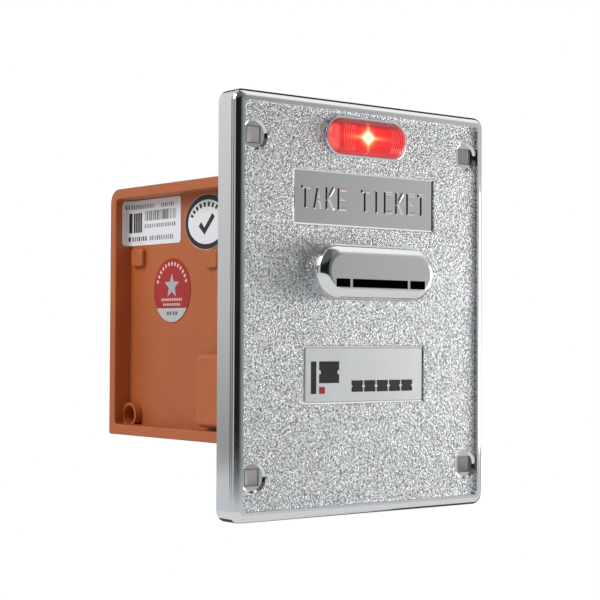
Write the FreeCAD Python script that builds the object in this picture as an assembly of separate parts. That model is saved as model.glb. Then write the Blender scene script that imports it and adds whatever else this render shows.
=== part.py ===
import FreeCAD, Part
import math
import os

os.makedirs("parts", exist_ok=True)
V = FreeCAD.Vector
X, Y, Z = V(1, 0, 0), V(0, 1, 0), V(0, 0, 1)

# Panel ticket dispenser, mm. Origin: centre of the faceplate on the mounting plane its back rim lies in.
# X to the right as seen from the front, Y into the cabinet, Z up.

# faceplate
PLATE_W, PLATE_H, PLATE_D = 126.5, 158.0, 10.9
PLATE_CORNER_R, PLATE_EDGE_R = 4.5, 3.0
RIM = 4.0                       # outer edge to the sunk field
FIELD_DEPTH, FIELD_R = 1.2, 2.0
FRONT_WALL, SIDE_WALL = 2.6, 3.0
FIELD_Y = -PLATE_D + FIELD_DEPTH
BACK_Y = FIELD_Y + FRONT_WALL   # rear of the front wall
BOLT_X, BOLT_Z, BOLT_SQ = 53.7, 62.6, 5.8
BOLT_SEAT_R, BOLT_SEAT_FLOOR_R, BOLT_SEAT_DEPTH, BOLT_PAD_R = 5.9, 4.9, 1.1, 6.5
PILLAR_X, PILLAR_Z, PILLAR_R = 42.0, 38.0, 4.2
PANEL_DEPTH, PANEL_SLOPE = 0.5, 1.1   # sunk strip and label pocket
STRIP_W, STRIP_Z0, STRIP_Z1 = 69.9, 31.4, 51.1
LABEL_W, LABEL_Z0, LABEL_Z1 = 59.7, -36.0, -15.3
LABEL_T, LABEL_GAP = 0.4, 0.3

# raised word on the strip
WORD = "TAKE TICKET"
LETTER_W, LETTER_H, LETTER_PITCH, STROKE = 4.2, 8.6, 5.9, 1.25
LETTER_BEVEL = 0.35
LETTERS = {                     # strokes on a unit cell
    "T": [((0, 1), (1, 1)), ((0.5, 1), (0.5, 0))],
    "A": [((0, 0), (0.5, 1)), ((0.5, 1), (1, 0)), ((0.22, 0.36), (0.78, 0.36))],
    "K": [((0, 0), (0, 1)), ((0, 0.42), (1, 1)), ((0.3, 0.55), (1, 0))],
    "E": [((0, 0), (0, 1)), ((0, 1), (1, 1)), ((0, 0.52), (0.8, 0.52)), ((0, 0), (1, 0))],
    "I": [((0.5, 0), (0.5, 1))],
    "C": [((1, 1), (0, 1)), ((0, 1), (0, 0)), ((0, 0), (1, 0))],
}

# ticket outlet
BOSS_W, BOSS_H, BOSS_Z, BOSS_Y, BOSS_EDGE_R, BOSS_WALL = 59.4, 21.6, 13.3, -19.0, 4.8, 2.6
SLOT_W, SLOT_Z0, SLOT_Z1 = 45.0, 7.4, 10.6
RIB_T, RIB_SETBACK = 1.2, 0.6   # ribs that steer the ticket, and how far they stay behind the outlet's face
COLLAR, COLLAR_T = 2.2, 1.2     # collar behind the front wall that holds the bezel in
FLANGE_W, FLANGE_T, FLANGE_Z0, FLANGE_Z1 = 70.0, 2.0, 0.6, 26.4
DUCT_WALL, DUCT_Y1 = 2.2, 5.6
THROAT_SCREWS = [(x, z) for x in (-32.6, 32.6) for z in (5.0, 22.0)]

# lamp
LAMP_W, LAMP_H, LAMP_Z, LAMP_FRONT = 39.6, 13.7, 65.4, -12.3
BEZEL, BEZEL_RISE = 0.9, 0.7
LENS_WALL, LENS_FLANGE = 1.8, 1.2
LEADS_X = 14.5

# ticket path
PATH_Z0, PATH_Z1 = 7.6, 10.4
TICKET_W = 28.0
RIB_X = (-(TICKET_W + RIB_T) / 2, (TICKET_W + RIB_T) / 2)
GUIDE_X, GUIDE_T = 17.0, 2.0
GUIDE_Y0, GUIDE_Y1 = 11.4, 110.6
GUIDE_SCREW_Y, GUIDE_LUG_H = (28.0, 98.0), 4.8
LOWER_SCREW_Z = (PATH_Z0 - GUIDE_T + PATH_Z1) / 2
UPPER_SCREW_Z = PATH_Z1 + GUIDE_T + GUIDE_LUG_H / 2
SENSOR_X, SENSOR_Y, SENSOR_R = 6.0, 90.0, 1.6
WINDOW_X, WINDOW_Z0, WINDOW_Z1 = 16.5, 4.6, 13.4

# mechanism housing
H_X0, H_X1, H_Y0, H_Y1, H_Z0, H_Z1 = -38.0, 36.0, 7.5, 115.1, -53.2, 52.0
LIP, PANEL_X, SHELL_T, COVER_T = 4.4, -30.0, 2.5, 2.5
WALL = 3.0
REAR_TOP_R, SMALL_R = 6.0, 1.0
IN_X0, IN_X1 = PANEL_X + SHELL_T, H_X1 - COVER_T
IN_Y0, IN_Y1, IN_Z0, IN_Z1 = H_Y0 + WALL, H_Y1 - WALL, H_Z0 + WALL, H_Z1 - WALL
WELL_R, WELL_PAD_R, WELL_PAD_H = 4.1, 5.3, 3.4
WELL_DEEP, WELL_SHALLOW, WELL_SEAT = 8.0, 2.4, 3.1
WELLS = [(106.2, -44.8, True), (17.5, -44.8, True), (17.5, 43.2, True), (106.2, 41.0, False)]

# bracket between faceplate and housing
BRACKET_T, BRACKET_X, EAR_X, EAR_Y1 = 1.5, 46.4, 22.0, 22.0
BRACKET_Y = H_Y0 - BRACKET_T
EAR_GAP = 0.2
EAR_SCREW_X, EAR_SCREW_Y = (-14.0, 14.0), 16.0
LEADS_X0, LEADS_X1, LEADS_Z0, LEADS_Z1 = 8.0, 24.0, 30.0, 42.0     # opening for the lamp leads

# drive train (axes along X)
PLATE_X0, PLATE_T = 17.0, 1.5
DRIVE_Y, DRIVE_Z, DRIVE_R, SHAFT_R = 46.0, -2.1, 11.0, 3.0
OUT_TEETH, SMALL_TEETH, OUT_M = 36, 14, 1.0
BIG_TEETH, PINION_TEETH, IN_M = 42, 12, 0.8
IDLE_Y, IDLE_Z = DRIVE_Y + 20.0, DRIVE_Z - 15.0
MOTOR_Y, MOTOR_Z = IDLE_Y + 12.96, IDLE_Z - 17.28
OUT_X0, OUT_X1, IN_GEAR_X0, IN_GEAR_X1 = 20.0, 25.0, 26.0, 30.0
MOTOR_SCREWS = [(MOTOR_Y + s * 8.0, MOTOR_Z) for s in (-1, 1)]
MOTOR_R, MOTOR_L, MOTOR_BOSS_R, MOTOR_SHAFT_R = 12.0, 30.0, 4.9, 1.0
PRESSURE, ADDENDUM, DEDENDUM, BACKLASH = math.radians(25), 0.8, 1.05, 0.16
RUN = 0.05                      # radial running clearance
BUSH_R, CLIP_T = 5.0, 0.6
CHASSIS_POSTS = [(30.0, -44.0), (96.5, -44.5), (88.0, 27.5), (30.0, 28.0)]

# pinch roller
PINCH_R, PINCH_GAP = 7.0, 0.3
PINCH_Z = DRIVE_Z + DRIVE_R + PINCH_GAP + PINCH_R
PIVOT_Y, PIVOT_Z, PIN_R = 68.0, 20.0, 1.5
CHEEK_X, CHEEK_T, CHEEK_R = 7.1, 1.5, 3.3
BRIDGE_Z, BRIDGE_T = 24.6, 1.4
SPRING_Y, SPRING_R, SPRING_WIRE, SPRING_TURNS = 53.0, 3.2, 0.35, 5
STRAP_Z, STRAP_T, STRAP_X, STRAP_SCREW_X = 35.0, 1.0, 13.6, 15.2

# pan-head screws: head radius, head height, thread radius, thread length
THROAT_SCREW = 2.1, 1.4, 1.2, 4.8
BRACKET_SCREW = 3.2, 2.2, 1.6, 8.0
EAR_SCREW = 2.9, 1.9, 1.45, 4.2
CASE_SCREW = 2.8, 1.8, 1.2, 9.0
GUIDE_SCREW = 1.7, 1.1, 0.9, 3.8
CHASSIS_SCREW = 2.8, 1.8, 1.25, 7.0
MOTOR_SCREW = 2.0, 1.2, 1.0, 4.5
STRAP_SCREW = 1.5, 1.2, 0.9, 2.6
BOARD_SCREW = 2.4, 1.5, 1.1, 4.6

# control board
BOARD_X, BOARD_T, BOARD_Y0, BOARD_Y1, BOARD_Z0, BOARD_Z1 = -23.5, 1.6, 62.0, 110.0, -38.0, 2.0
BOARD_POSTS = [(66.0, -34.0), (66.0, -2.0), (104.0, -2.0)]
PIN_PITCH = 2.54
BUTTON_X, BUTTON_Z, BUTTON_R = 8.0, 28.0, 4.0


def box(x0, x1, y0, y1, z0, z1):
    return Part.makeBox(x1 - x0, y1 - y0, z1 - z0, V(x0, y0, z0))


def rod(r, x0, x1, y, z):
    return Part.makeCylinder(r, x1 - x0, V(x0, y, z), X)


def peg(r, y0, y1, x, z):
    return Part.makeCylinder(r, y1 - y0, V(x, y0, z), Y)


def post(r, z0, z1, x, y):
    return Part.makeCylinder(r, z1 - z0, V(x, y, z0), Z)


def edges_along(shape, direction):
    """Straight edges of a shape that run along a direction."""
    found = []
    for e in shape.Edges:
        if isinstance(e.Curve, Part.Line) and abs(abs(e.tangentAt(e.FirstParameter).dot(direction)) - 1) < 1e-6:
            found.append(e)
    return found


def rounded(x0, x1, y0, y1, z0, z1, r, direction):
    """Box with its edges along one direction rounded."""
    b = box(x0, x1, y0, y1, z0, z1)
    return b.makeFillet(r, edges_along(b, direction))


def stadium(w, h, x, z, y0, y1):
    """Bar with round ends, long along X, swept along Y."""
    r = h / 2
    half = w / 2 - r
    return box(x - half, x + half, y0, y1, z - r, z + r).fuse(
        [peg(r, y0, y1, x - half, z), peg(r, y0, y1, x + half, z)]).removeSplitter()


def edges_at_x(shape, x):
    """Edges that lie wholly in the plane of one x value."""
    return [e for e in shape.Edges if abs(e.BoundBox.XMin - x) < 1e-4 and abs(e.BoundBox.XMax - x) < 1e-4]


def edges_at_y(shape, y):
    """Edges that lie wholly in the plane of one y value."""
    return [e for e in shape.Edges if all(abs(v.Point.y - y) < 1e-4 for v in e.Vertexes)
            and abs(e.BoundBox.YLength) < 1e-3]


def fuse(shapes):
    return shapes[0].fuse(shapes[1:]).removeSplitter() if len(shapes) > 1 else shapes[0]


def group(shapes):
    return Part.makeCompound(shapes)


def screw(size, seat, along):
    """Pan-head screw with a cross recess, its head bearing on a seat."""
    head_r, head_h, r, length = size
    at = seat - along * head_h
    head = Part.makeCylinder(head_r, head_h, at, along)
    crown = [e for e in head.Edges if isinstance(e.Curve, Part.Circle) and (e.CenterOfMass - at).Length < 1e-6]
    head = head.makeFillet(head_h * 0.4, crown)
    side = Z if abs(along.dot(Z)) < 0.5 else X
    other = along.cross(side)
    solid = head.fuse(Part.makeCylinder(r, length, at + along * head_h, along))
    for a, b in ((side, other), (other, side)):
        corner = at - a * head_r * 0.6 - b * head_r * 0.13 - along * 0.01
        long, wide = a * head_r * 1.2, b * head_r * 0.26
        wire = Part.makePolygon([corner, corner + long, corner + long + wide, corner + wide, corner])
        solid = solid.cut(Part.Face(wire).extrude(along * head_h * 0.45))
    return solid


# ---------------------------------------------------------------- faceplate

def plate_shell():
    body = rounded(-PLATE_W / 2, PLATE_W / 2, -PLATE_D, 0, -PLATE_H / 2, PLATE_H / 2, PLATE_CORNER_R, Y)
    body = body.makeFillet(PLATE_EDGE_R, edges_at_y(body, -PLATE_D))
    fx, fz = PLATE_W / 2 - RIM, PLATE_H / 2 - RIM
    field = rounded(-fx, fx, -PLATE_D - 1, FIELD_Y, -fz, fz, FIELD_R, Y)
    ix, iz = PLATE_W / 2 - SIDE_WALL, PLATE_H / 2 - SIDE_WALL
    hollow = rounded(-ix, ix, BACK_Y, 1, -iz, iz, FIELD_R, Y)
    return body.cut([field, hollow])


def outlet_bezel():
    """Hollow outlet pushed through the plate from behind, with two ribs across its slot."""
    solid = stadium(BOSS_W, BOSS_H, 0, BOSS_Z, BOSS_Y, BACK_Y + COLLAR_T)
    solid = solid.makeFillet(BOSS_EDGE_R, edges_at_y(solid, BOSS_Y))
    collar = stadium(BOSS_W + 2 * COLLAR, BOSS_H + 2 * COLLAR, 0, BOSS_Z, BACK_Y, BACK_Y + COLLAR_T)
    inner = boss_inner(0, BOSS_Y + BOSS_WALL, 0)
    slot = box(-SLOT_W / 2, SLOT_W / 2, BOSS_Y - 1, BOSS_Y + BOSS_WALL + 1, SLOT_Z0, SLOT_Z1)
    ribs = slot_ribs(BOSS_Y + RIB_SETBACK, BOSS_Y + BOSS_WALL, SLOT_Z0 - 0.1, SLOT_Z1 + 0.1)
    return fuse([solid.fuse(collar).cut([inner, slot])] + ribs)


def slot_ribs(y0, y1, z0, z1):
    return [box(x - RIB_T / 2, x + RIB_T / 2, y0, y1, z0, z1) for x in RIB_X]


def boss_inner(gap, y0, y1):
    inset = 2 * (BOSS_WALL + gap)
    return stadium(BOSS_W - inset, BOSS_H - inset, 0, BOSS_Z, y0, y1)


def letter(strokes, x, z, y0, y1):
    """One raised letter made of straight strokes."""
    bars = []
    w, h = LETTER_W - STROKE, LETTER_H - STROKE
    for (ax, az), (bx, bz) in strokes:
        a = V(x + STROKE / 2 + ax * w, y0, z + STROKE / 2 + az * h)
        b = V(x + STROKE / 2 + bx * w, y0, z + STROKE / 2 + bz * h)
        run = (b - a).normalize()
        side = run.cross(Y) * (STROKE / 2)
        a, b = a - run * (STROKE / 2), b + run * (STROKE / 2)
        wire = Part.makePolygon([a + side, b + side, b - side, a - side, a + side])
        bar = Part.Face(wire).extrude(V(0, y1 - y0, 0))
        bars.append(bar.makeChamfer(LETTER_BEVEL, edges_at_y(bar, y0)))
    return fuse(bars)


def word():
    start = -(len(WORD) - 1) * LETTER_PITCH / 2 - LETTER_W / 2
    z = (STRIP_Z0 + STRIP_Z1 - LETTER_H) / 2
    return [letter(LETTERS[c], start + i * LETTER_PITCH, z, FIELD_Y, FIELD_Y + PANEL_DEPTH + 0.1)
            for i, c in enumerate(WORD) if c in LETTERS]


def corners(x, z):
    return [(sx * x, sz * z) for sx in (-1, 1) for sz in (-1, 1)]


def dish(x0, x1, z0, z1):
    """Pocket in the field whose walls lean outwards."""
    wires = []
    for y, grow in ((FIELD_Y - 0.5, PANEL_SLOPE * (1 + 0.5 / PANEL_DEPTH)), (FIELD_Y + PANEL_DEPTH, 0.0)):
        a, b, c, d = x0 - grow, x1 + grow, z0 - grow, z1 + grow
        wires.append(Part.makePolygon([V(a, y, c), V(b, y, c), V(b, y, d), V(a, y, d), V(a, y, c)]))
    return Part.makeLoft(wires, True, True)


def bolt_seat(x, z):
    """Shallow round dish round a bolt hole, kept inside the field."""
    slope = (BOLT_SEAT_R - BOLT_SEAT_FLOOR_R) / BOLT_SEAT_DEPTH
    cone = Part.makeCone(BOLT_SEAT_R + slope, BOLT_SEAT_FLOOR_R, 1 + BOLT_SEAT_DEPTH, V(x, FIELD_Y - 1, z), Y)
    fx, fz = PLATE_W / 2 - RIM, PLATE_H / 2 - RIM
    return cone.common(box(-fx, fx, -PLATE_D - 5, 0, -fz, fz))


def faceplate():
    solid = plate_shell()
    ring = stadium(LAMP_W + 2 * BEZEL, LAMP_H + 2 * BEZEL, 0, LAMP_Z, FIELD_Y - BEZEL_RISE, FIELD_Y + 1)
    adds = [ring.makeFillet(BEZEL_RISE * 0.6, edges_at_y(ring, FIELD_Y - BEZEL_RISE))]
    adds += [peg(BOLT_PAD_R, BACK_Y - 0.5, 0, x, z) for x, z in corners(BOLT_X, BOLT_Z)]
    adds += [peg(PILLAR_R, BACK_Y - 0.5, BRACKET_Y, x, z) for x, z in corners(PILLAR_X, PILLAR_Z)]
    solid = solid.fuse(adds)
    half = BOLT_SQ / 2
    cuts = [stadium(BOSS_W, BOSS_H, 0, BOSS_Z, FIELD_Y - 5, BACK_Y + 1)]
    cuts.append(stadium(LAMP_W, LAMP_H, 0, LAMP_Z, FIELD_Y - 5, BACK_Y + 1))
    cuts.append(dish(-STRIP_W / 2, STRIP_W / 2, STRIP_Z0, STRIP_Z1))
    cuts.append(dish(-LABEL_W / 2, LABEL_W / 2, LABEL_Z0, LABEL_Z1))
    for x, z in corners(BOLT_X, BOLT_Z):
        cuts.append(bolt_seat(x, z))
        cuts.append(box(x - half, x + half, -PLATE_D, 1, z - half, z + half))
    cuts += [peg(1.65, BRACKET_Y - 9, BRACKET_Y + 1, x, z) for x, z in corners(PILLAR_X, PILLAR_Z)]
    cuts += [peg(1.25, BACK_Y - 2, BACK_Y + 1, x, z) for x, z in THROAT_SCREWS]
    return fuse([solid.cut(cuts)] + word())


def name_label():
    y, half = FIELD_Y + PANEL_DEPTH, LABEL_W / 2 - LABEL_GAP
    return rounded(-half, half, y - LABEL_T, y, LABEL_Z0 + LABEL_GAP, LABEL_Z1 - LABEL_GAP, 0.6, Y)


# ---------------------------------------------------------------- lamp and outlet

def lamp_lens():
    gap = 0.4
    front = stadium(LAMP_W - gap, LAMP_H - gap, 0, LAMP_Z, LAMP_FRONT, BACK_Y)
    front = front.makeFillet(2.2, edges_at_y(front, LAMP_FRONT))
    flange = stadium(LAMP_W + 3, LAMP_H + 3, 0, LAMP_Z, BACK_Y, BACK_Y + LENS_FLANGE)
    inset = gap + 2 * LENS_WALL
    inner = stadium(LAMP_W - inset, LAMP_H - inset, 0, LAMP_Z, LAMP_FRONT + LENS_WALL, 0)
    return front.fuse(flange).cut(inner).removeSplitter()


def lamp_holder():
    y0 = BACK_Y + LENS_FLANGE
    outer = stadium(LAMP_W + 3, LAMP_H + 3, 0, LAMP_Z, y0, -0.4)
    notch = box(LEADS_X - 2.2, LEADS_X + 2.2, -4.4, 0, LAMP_Z - 10, LAMP_Z - 5)
    return outer.cut([stadium(LAMP_W, LAMP_H, 0, LAMP_Z, y0 - 1, 0), notch])


def lamp_board():
    return stadium(LAMP_W - 0.4, LAMP_H - 0.4, 0, LAMP_Z, -1.8, -0.6)


def lamp_led():
    base = peg(3.2, -2.9, -1.8, 0, LAMP_Z)
    dome = Part.makeSphere(2.5, V(0, -5.5, LAMP_Z)).common(box(-5, 5, -9, -5.5, LAMP_Z - 5, LAMP_Z + 5))
    return fuse([base, peg(2.5, -5.5, -2.9, 0, LAMP_Z), dome])


def lead(points, r):
    """Round wire through a list of points."""
    curve = Part.BSplineCurve()
    curve.interpolate([V(*p) for p in points])
    path = Part.Wire([curve.toShape()])
    start = curve.tangent(0)[0]
    disc = Part.Wire([Part.makeCircle(r, V(*points[0]), start)])
    return path.makePipeShell([disc], True, True)


def lamp_leads():
    """Two wires from the lamp board, down behind the plate and into the housing."""
    route = [(-2.36, 60.8), (-2.9, 57.6), (-3.6, 53.0), (-2.8, 46.0), (1.5, 39.5), (8.0, 36.0), (16.0, 34.5)]
    return group([lead([(LEADS_X + s, y, z) for y, z in route], 0.55) for s in (-1.0, 1.0)])


def throat():
    """Liner of the ticket path from the outlet to the mechanism, before it is split."""
    back = BACK_Y + COLLAR_T
    front = boss_inner(0.3, BOSS_Y + BOSS_WALL + 0.2, back + 0.2)
    flange = rounded(-FLANGE_W / 2, FLANGE_W / 2, back, back + FLANGE_T, FLANGE_Z0, FLANGE_Z1, 3.0, Y)
    feet = [peg(2.4, BACK_Y, back + 0.2, x, z) for x, z in THROAT_SCREWS]
    half = SLOT_W / 2 + DUCT_WALL
    duct = box(-half, half, back, DUCT_Y1, SLOT_Z0 - DUCT_WALL, SLOT_Z1 + DUCT_WALL)
    cuts = [box(-SLOT_W / 2, SLOT_W / 2, BOSS_Y, DUCT_Y1 + 1, SLOT_Z0, SLOT_Z1)]
    cuts += [peg(1.5, BACK_Y - 1, 0, x, z) for x, z in THROAT_SCREWS]
    return fuse([front, flange, duct] + feet).cut(cuts)


def throat_lower():
    ribs = slot_ribs(BOSS_Y + BOSS_WALL + 0.2, DUCT_Y1, SLOT_Z0 - 0.5, SLOT_Z1)
    return fuse([throat().common(box(-60, 60, -40, 40, -20, SLOT_Z1))] + ribs)


def throat_upper():
    return throat().common(box(-60, 60, -40, 40, SLOT_Z1, 60))


def throat_screws():
    y = BACK_Y + COLLAR_T + FLANGE_T
    return group([screw(THROAT_SCREW, V(x, y, z), -Y) for x, z in THROAT_SCREWS])


# ---------------------------------------------------------------- bracket and housing

def mount_bracket():
    z0, z1 = H_Z0 - EAR_GAP - BRACKET_T, H_Z1 + EAR_GAP + BRACKET_T
    web = rounded(-BRACKET_X, BRACKET_X, BRACKET_Y, H_Y0, z0, z1, 3.0, Y)
    low = box(-EAR_X, EAR_X, BRACKET_Y, EAR_Y1, z0, z0 + BRACKET_T)
    top = box(-EAR_X, EAR_X, BRACKET_Y, EAR_Y1, z1 - BRACKET_T, z1)
    solid = fuse([web, low, top])
    cuts = [box(-WINDOW_X, WINDOW_X, 0, 10, WINDOW_Z0, WINDOW_Z1)]
    cuts.append(rounded(LEADS_X0, LEADS_X1, 0, 10, LEADS_Z0, LEADS_Z1, 2.0, Y))
    cuts += [peg(2.2, 0, 10, x, z) for x, z in corners(PILLAR_X, PILLAR_Z)]
    cuts += [post(1.7, -60, 60, x, EAR_SCREW_Y) for x in EAR_SCREW_X]
    return solid.cut(cuts)


def bracket_screws():
    return group([screw(BRACKET_SCREW, V(x, H_Y0, z), -Y) for x, z in corners(PILLAR_X, PILLAR_Z)])


def ear_screws():
    reach = EAR_GAP + BRACKET_T
    return group([screw(EAR_SCREW, V(x, EAR_SCREW_Y, z), along) for x in EAR_SCREW_X
                  for z, along in ((H_Z1 + reach, -Z), (H_Z0 - reach, Z))])


def outline(x0, x1, inset=0.0):
    """Side outline of the housing between two x values."""
    b = box(x0, x1, H_Y0 + inset, H_Y1 - inset, H_Z0 + inset, H_Z1 - inset)
    edges = edges_along(b, X)
    top_rear = [e for e in edges if e.CenterOfMass.y > 60 and e.CenterOfMass.z > 0]
    rest = [e for e in edges if not (e.CenterOfMass.y > 60 and e.CenterOfMass.z > 0)]
    b = b.makeFillet(max(REAR_TOP_R - inset, SMALL_R), top_rear)
    rest = [e for e in edges_along(b, X) if any((e.CenterOfMass - r.CenterOfMass).Length < 0.5 for r in rest)]
    return b.makeFillet(SMALL_R, rest)


def well_floor(pad):
    """X of the face a case screw's head bears on."""
    return PANEL_X + (WELL_DEEP if pad else WELL_SHALLOW)


def left_panel_details():
    """Raised shapes moulded on the sunk left panel."""
    adds = []
    for y0, z0 in ((98.9, 18.7), (44.2, 16.3)):
        pad = rounded(PANEL_X - 2.2, PANEL_X + 0.5, y0, y0 + 8.8, z0, z0 + 7.6, 1.6, X)
        adds.append(pad.makeFillet(0.9, edges_at_x(pad, PANEL_X - 2.2)))
    block = rounded(PANEL_X - 6.4, PANEL_X + 0.5, 34.0, 53.4, -47.6, -17.9, 3.2, X)
    adds.append(block.makeFillet(2.6, edges_at_x(block, PANEL_X - 6.4)))
    disc = rod(35.0, PANEL_X - 1.0, PANEL_X + 0.5, 20.5, -8.0)
    adds.append(disc.common(box(-60, 0, H_Y0 + LIP, H_Y1, H_Z0 + LIP, H_Z1 - LIP)))
    adds += [rod(WELL_PAD_R, PANEL_X - WELL_PAD_H, PANEL_X + 0.5, y, z) for y, z, pad in WELLS if pad]
    return adds


def housing():
    solid = outline(H_X0, IN_X1)
    recess = box(H_X0 - 1, PANEL_X, H_Y0 + LIP, H_Y1 - LIP, H_Z0 + LIP, H_Z1 - LIP)
    recess = recess.makeFillet(1.2, edges_along(recess, X))
    cavity = box(IN_X0, H_X1 + 1, IN_Y0, IN_Y1, IN_Z0, IN_Z1)
    cavity = cavity.makeFillet(2.0, edges_along(cavity, X))
    solid = solid.cut([recess, cavity])
    solid = solid.makeFillet(0.6, edges_at_x(solid, H_X0))
    adds = left_panel_details()
    adds += [rod(3.5, IN_X0 - 0.5, PLATE_X0, y, z) for y, z in CHASSIS_POSTS]
    adds += [rod(3.0, IN_X0 - 0.5, BOARD_X, y, z) for y, z in BOARD_POSTS]
    adds.append(rod(8.0, IN_X0 - 0.5, -19.0, DRIVE_Y, DRIVE_Z))
    adds += [rod(WELL_PAD_R, IN_X0 - 0.5, well_floor(pad) + WELL_SEAT, y, z) for y, z, pad in WELLS]
    solid = solid.fuse(adds)
    cuts = []
    for y, z, pad in WELLS:
        cuts.append(rod(WELL_R, PANEL_X - 4, well_floor(pad), y, z))
        cuts.append(rod(1.7, PANEL_X - 4, well_floor(pad) + WELL_SEAT + 1, y, z))
    cuts += [rod(1.3, PLATE_X0 - 8, PLATE_X0 + 1, y, z) for y, z in CHASSIS_POSTS]
    cuts += [rod(1.1, IN_X0 - 0.5, BOARD_X + 1, y, z) for y, z in BOARD_POSTS]
    cuts.append(rod(BUSH_R, -24.5, -18, DRIVE_Y, DRIVE_Z))
    cuts.append(rod(SHAFT_R + 0.5, IN_X0 + 1, -18, DRIVE_Y, DRIVE_Z))
    for y in (H_Y0, IN_Y1):
        cuts.append(rounded(-WINDOW_X, WINDOW_X, y - 1, y + WALL + 1, WINDOW_Z0, WINDOW_Z1, 1.0, Y))
    cuts.append(rounded(10.0, 22.0, H_Y0 - 1, IN_Y0 + 1, 31.0, 40.0, 2.0, Y))
    cuts.append(box(-21.9, -12.9, IN_Y1 - 1, H_Y1 + 1, -34.5, -13.5))
    cuts.append(peg(BUTTON_R + 0.3, IN_Y1 - 1, H_Y1 + 1, BUTTON_X, BUTTON_Z))
    cuts += [post(1.5, z0, z1, x, EAR_SCREW_Y) for x in EAR_SCREW_X
             for z0, z1 in ((H_Z0 - 1, IN_Z0 + 1), (IN_Z1 - 1, H_Z1 + 1))]
    return solid.cut(cuts)


def side_cover():
    cover = outline(IN_X1, H_X1)
    cover = cover.makeFillet(0.8, edges_at_x(cover, H_X1))
    tubes = []
    for y, z, pad in WELLS:
        start = well_floor(pad) + WELL_SEAT
        tubes.append(rod(3.2, start, IN_X1 + 0.5, y, z).cut(rod(1.25, start - 1, start + 14, y, z)))
    ribs = [box(IN_X1 - 1.2, IN_X1 + 0.5, IN_Y0 + 8, IN_Y1 - 8, z - 0.8, z + 0.8) for z in (-44.8, 43.2)]
    return fuse([cover] + tubes + ribs)


def case_screws():
    return group([screw(CASE_SCREW, V(well_floor(pad), y, z), X) for y, z, pad in WELLS])


# ---------------------------------------------------------------- stickers

def serial_label():
    """Sticker whose rear end climbs the end wall of the sunk panel."""
    t, y_wall, bend, y0 = 0.25, H_Y1 - LIP, 2.2, 72.6
    z0, z1 = 27.8, 47.2
    flat = box(PANEL_X - t, PANEL_X, y0, y_wall - bend, z0, z1)
    x_mid, y_mid = PANEL_X - bend, y_wall - bend
    ring = post(bend, z0, z1, x_mid, y_mid).cut(post(bend - t, z0, z1, x_mid, y_mid))
    turn = ring.common(box(x_mid, PANEL_X + 1, y_mid, y_wall + 1, z0, z1))
    up = box(PANEL_X - 4.6, PANEL_X - bend, y_wall - t, y_wall, z0, z1)
    solid = fuse([flat, turn, up])
    ends = [e for e in edges_along(solid, X) if abs(e.CenterOfMass.y - y0) < 1e-3]
    ends += [e for e in edges_along(solid, Y) if abs(e.CenterOfMass.x - PANEL_X + 4.6) < 1e-3]
    return solid.makeFillet(1.6, ends)


def oval(y, z, ry, rz, t):
    e = Part.Ellipse(V(PANEL_X - t, y, z), max(ry, rz), min(ry, rz))
    e.Axis = X
    e.XAxis = Y if ry >= rz else Z
    return Part.Face(Part.Wire([e.toShape()])).extrude(V(t, 0, 0))


def inspection_label():
    return oval(53.9, 35.3, 15.4, 11.3, 0.25)


def seal_label():
    return rod(13.5, PANEL_X - 0.25, PANEL_X, 78.8, 8.0)


# ---------------------------------------------------------------- ticket guides and sensor

def flare(solid, z_in, z_out):
    """Chamfer the guide's rear mouth."""
    y0, y1 = GUIDE_Y1 - 3, GUIDE_Y1 + 1
    wire = Part.makePolygon([V(-20, y0, z_in), V(-20, y1, z_in), V(-20, y1, z_out), V(-20, y0, z_in)])
    return solid.cut(Part.Face(wire).extrude(V(40, 0, 0)))


def lower_guide():
    z0 = PATH_Z0 - GUIDE_T
    solid = box(-GUIDE_X, GUIDE_X, GUIDE_Y0, GUIDE_Y1, z0, PATH_Z0)
    solid = flare(solid, PATH_Z0, PATH_Z0 - 1.4)
    ribs = [box(x0, x1, GUIDE_Y0, GUIDE_Y1, z0, PATH_Z1)
            for x0, x1 in ((-GUIDE_X, -TICKET_W / 2), (TICKET_W / 2, GUIDE_X))]
    solid = fuse([solid] + ribs)
    window = box(-10.2, 10.2, DRIVE_Y - 9.0, DRIVE_Y + 9.0, z0 - 1, PATH_Z0 + 1)
    holes = [rod(0.9, TICKET_W / 2 + 0.4, GUIDE_X + 1, y, LOWER_SCREW_Z) for y in GUIDE_SCREW_Y]
    return solid.cut([window, post(SENSOR_R, z0 - 1, PATH_Z0 + 1, SENSOR_X, SENSOR_Y)] + holes)


def upper_guide():
    z1 = PATH_Z1 + GUIDE_T
    solid = box(-GUIDE_X, GUIDE_X, GUIDE_Y0, GUIDE_Y1, PATH_Z1, z1)
    solid = flare(solid, PATH_Z1, PATH_Z1 + 1.4)
    ears = []
    for x0 in (-12.0, 9.2):
        foot = box(x0, x0 + 2.8, PIVOT_Y - 4, PIVOT_Y + 4, z1 - 0.5, PIVOT_Z)
        ears.append(foot.fuse(rod(4.0, x0, x0 + 2.8, PIVOT_Y, PIVOT_Z)))
    lugs = [box(GUIDE_X - 3.6, GUIDE_X, y - 4, y + 4, z1 - 0.5, z1 + GUIDE_LUG_H) for y in GUIDE_SCREW_Y]
    solid = fuse([solid] + ears + lugs)
    window = box(-7.4, 7.4, DRIVE_Y - 7.2, DRIVE_Y + 7.2, PATH_Z1 - 1, z1 + 1)
    holes = [post(0.9, PATH_Z1 - 1, z1 + 1, s * STRAP_SCREW_X, SPRING_Y) for s in (-1, 1)]
    holes += [rod(0.9, GUIDE_X - 3.2, GUIDE_X + 1, y, UPPER_SCREW_Z) for y in GUIDE_SCREW_Y]
    holes += [rod(PIN_R, -13, 13, PIVOT_Y, PIVOT_Z), post(SENSOR_R, PATH_Z1 - 1, z1 + 1, SENSOR_X, SENSOR_Y)]
    return solid.cut([window] + holes)


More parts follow.
